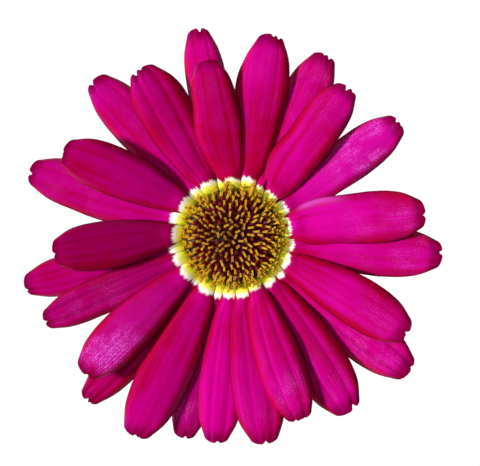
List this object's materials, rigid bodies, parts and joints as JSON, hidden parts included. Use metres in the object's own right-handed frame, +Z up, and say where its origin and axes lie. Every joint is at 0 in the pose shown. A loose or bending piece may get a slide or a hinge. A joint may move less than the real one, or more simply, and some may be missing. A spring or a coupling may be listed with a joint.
{
  "type": "marguerite daisy flower head",
  "caption": "Magenta marguerite daisy flower head with a white eye ring, yellow disc florets, green bracts and a short cut stub of stalk, standing face up.",
  "frame": {"origin": "middle of the cut face of the stalk's stub, on the surface that the flower stands on", "axes": "+Z up through the middle of the disc; +X towards the first petals of the numbering, which runs anticlockwise seen from above"},
  "size_m": [0.0649, 0.0646, 0.0141],
  "materials": {
    "petal": "satin, magenta with a white base",
    "disc_floret": "matt yellow on dark maroon",
    "bract": "matt green with thin dry edges",
    "stalk": "matt green, paler on the cut face"
  },
  "bodies": {
    "root": {"stalk_and_receptacle": "stalk", "ray_petal_01": "petal", "ray_petal_02": "petal", "ray_petal_03": "petal", "ray_petal_04": "petal", "ray_petal_05": "petal", "ray_petal_06": "petal", "ray_petal_07": "petal", "ray_petal_08": "petal", "ray_petal_09": "petal", "ray_petal_10": "petal", "ray_petal_11": "petal", "ray_petal_12": "petal", "ray_petal_13": "petal", "ray_petal_14": "petal", "ray_petal_15": "petal", "ray_petal_16": "petal", "ray_petal_17": "petal", "ray_petal_18": "petal", "ray_petal_19": "petal", "ray_petal_20": "petal", "ray_petal_21": "petal", "ray_petal_22": "petal", "ray_petal_23": "petal", "ray_petal_24": "petal", "ray_petal_25": "petal", "inner_bract_01": "bract", "inner_bract_02": "bract", "inner_bract_03": "bract", "inner_bract_04": "bract", "inner_bract_05": "bract", "inner_bract_06": "bract", "inner_bract_07": "bract", "inner_bract_08": "bract", "inner_bract_09": "bract", "inner_bract_10": "bract", "inner_bract_11": "bract", "inner_bract_12": "bract", "inner_bract_13": "bract", "outer_bract_01": "bract", "outer_bract_02": "bract", "outer_bract_03": "bract", "outer_bract_04": "bract", "outer_bract_05": "bract", "outer_bract_06": "bract", "outer_bract_07": "bract", "outer_bract_08": "bract", "disc_florets_ring_01": "disc_floret", "disc_florets_ring_02": "disc_floret", "disc_florets_ring_03": "disc_floret", "disc_florets_ring_04": "disc_floret", "disc_florets_ring_05": "disc_floret", "disc_florets_ring_06": "disc_floret"}
  },
  "joints": []
}
